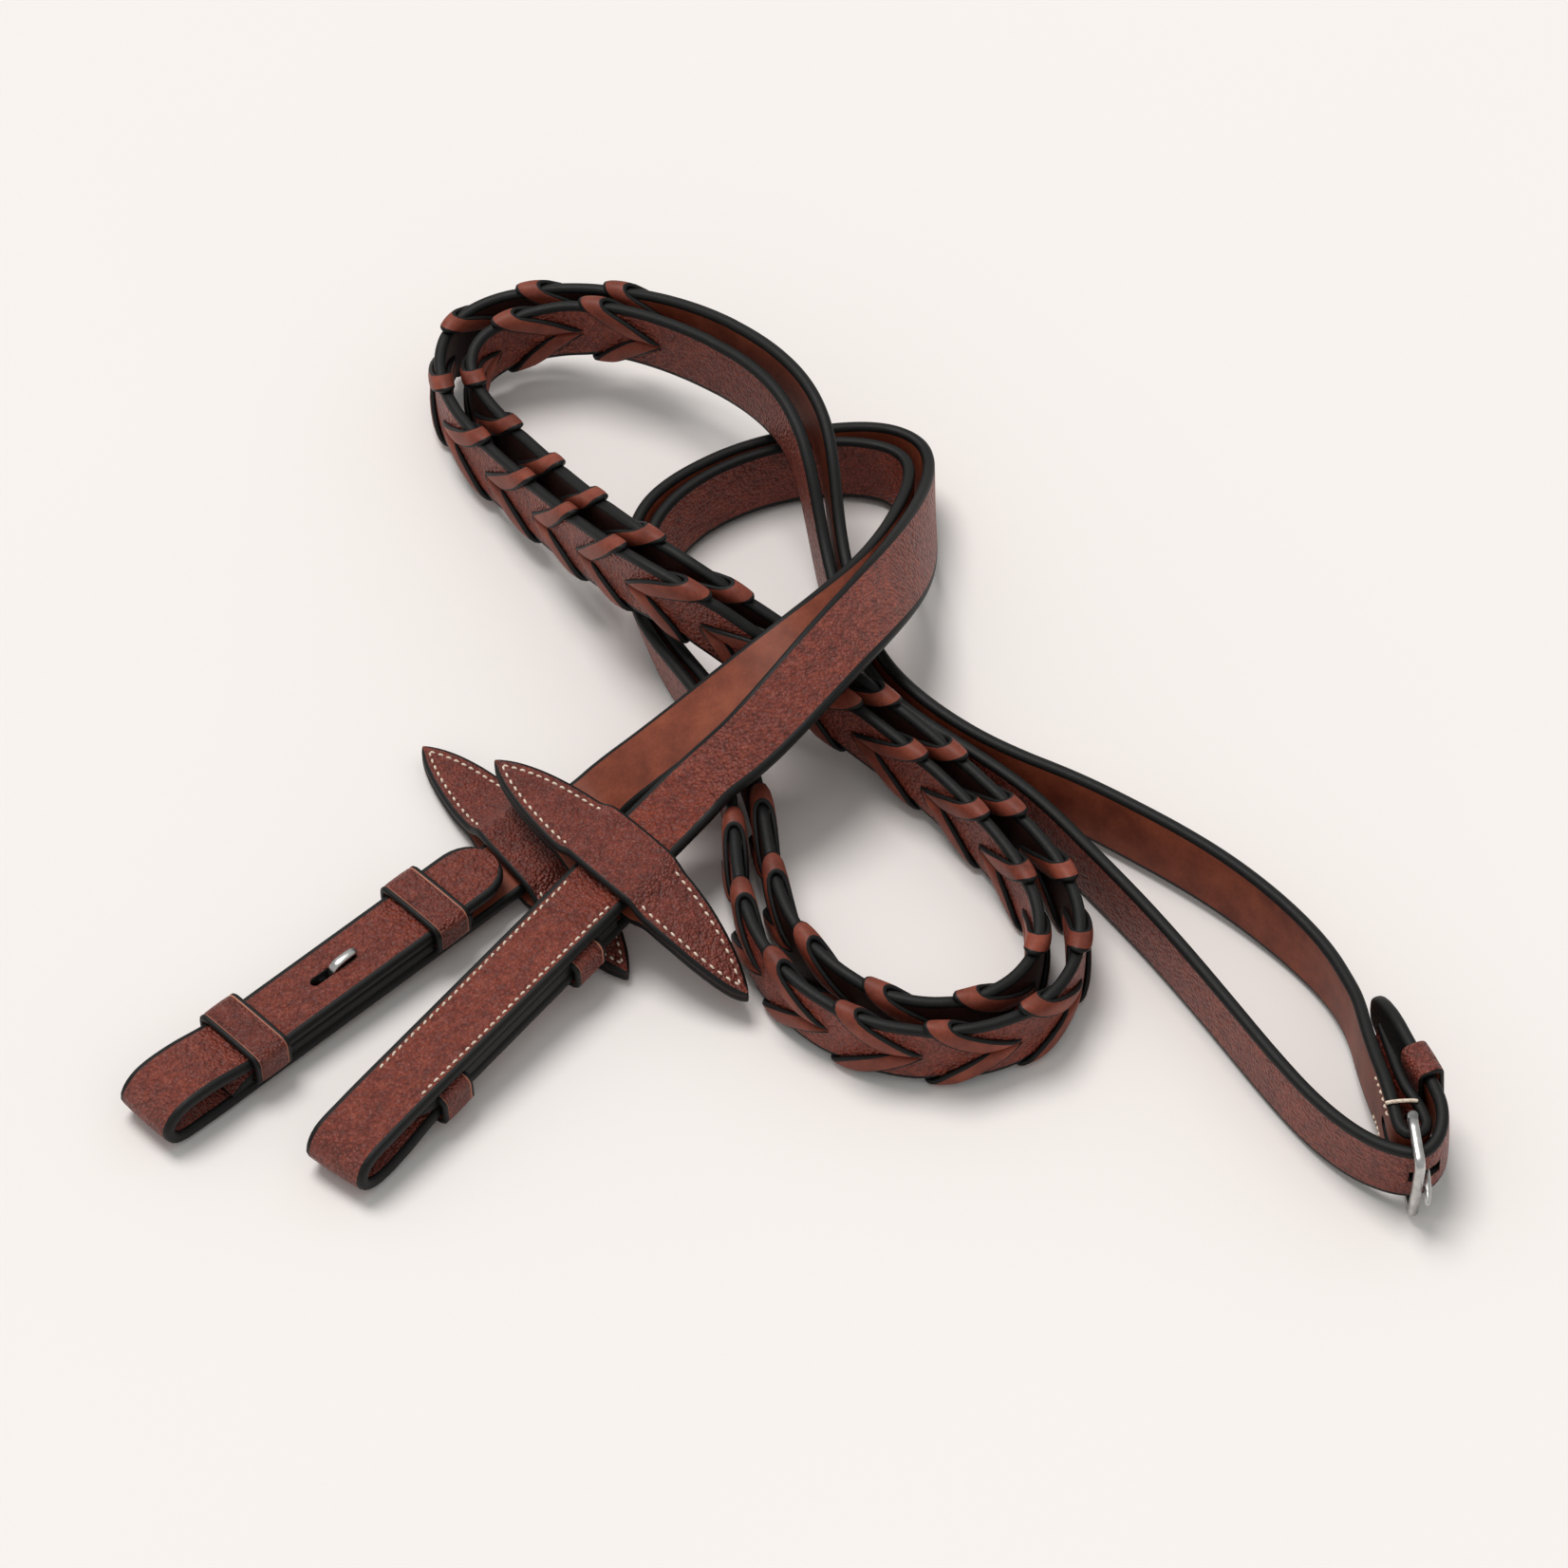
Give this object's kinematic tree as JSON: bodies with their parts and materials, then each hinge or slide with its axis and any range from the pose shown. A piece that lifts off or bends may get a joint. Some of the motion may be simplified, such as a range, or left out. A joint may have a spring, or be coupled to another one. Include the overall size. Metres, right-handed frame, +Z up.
{
  "type": "leather reins",
  "caption": "Pair of laced leather reins with hook-stud billets, sliding rein stops and a centre buckle, laid down in loose overlapping loops.",
  "frame": {"origin": "under the middle of the pair's bounding box, on the surface that it lies on", "axes": "+Z up, +X towards the buckled hand end, -Y towards the bit loops' side, so the pair's long side runs along X"},
  "size_m": [0.2819, 0.2668, 0.0388],
  "materials": {
    "rein_leather": "pebbled grain, satin, near-black dyed edges",
    "fitting_leather": "pebbled grain, satin, stitched in cream thread",
    "lace_leather": "smooth, satin, dark edges",
    "steel": "polished stainless"
  },
  "bodies": {
    "reins": {"rein_a_strap": "rein_leather", "rein_a_billet_lining": "fitting_leather", "rein_a_lower_keeper": "fitting_leather", "rein_a_upper_keeper": "fitting_leather", "rein_a_hook_stud": "steel", "rein_a_lace": "lace_leather", "rein_b_strap": "rein_leather", "rein_b_billet_lining": "fitting_leather", "rein_b_lower_keeper": "fitting_leather", "rein_b_upper_keeper": "fitting_leather", "rein_b_hook_stud": "steel", "rein_b_lace": "lace_leather", "buckle_keeper": "fitting_leather"},
    "rein_a_stop": {"rein_a_stop_top": "fitting_leather", "rein_a_stop_under": "fitting_leather"},
    "rein_b_stop": {"rein_b_stop_top": "fitting_leather", "rein_b_stop_under": "fitting_leather"},
    "centre_buckle": {"buckle_frame": "steel"},
    "buckle_tongue": {"buckle_tongue": "steel"}
  },
  "joints": [
    {"name": "rein_a_stop_slide", "type": "slide", "parent": "reins", "child": "rein_a_stop", "axis": [0.726, 0.6872, 0.0267], "range_m": [-0.002, 0.004]},
    {"name": "rein_b_stop_slide", "type": "slide", "parent": "reins", "child": "rein_b_stop", "axis": [0.6159, 0.7856, 0.0591], "range_m": [-0.0012, 0]},
    {"name": "centre_buckle_hinge", "type": "hinge", "parent": "reins", "child": "centre_buckle", "pos_m": [0.1318, -0.11674, 0.01244], "axis": [0.0102, -0.1214, 0.9925], "range_deg": [-3, 2.5]},
    {"name": "buckle_tongue_hinge", "type": "hinge", "parent": "centre_buckle", "child": "buckle_tongue", "pos_m": [0.1318, -0.11674, 0.01244], "axis": [0.0102, -0.1214, 0.9925], "range_deg": [0, 2.5]}
  ]
}
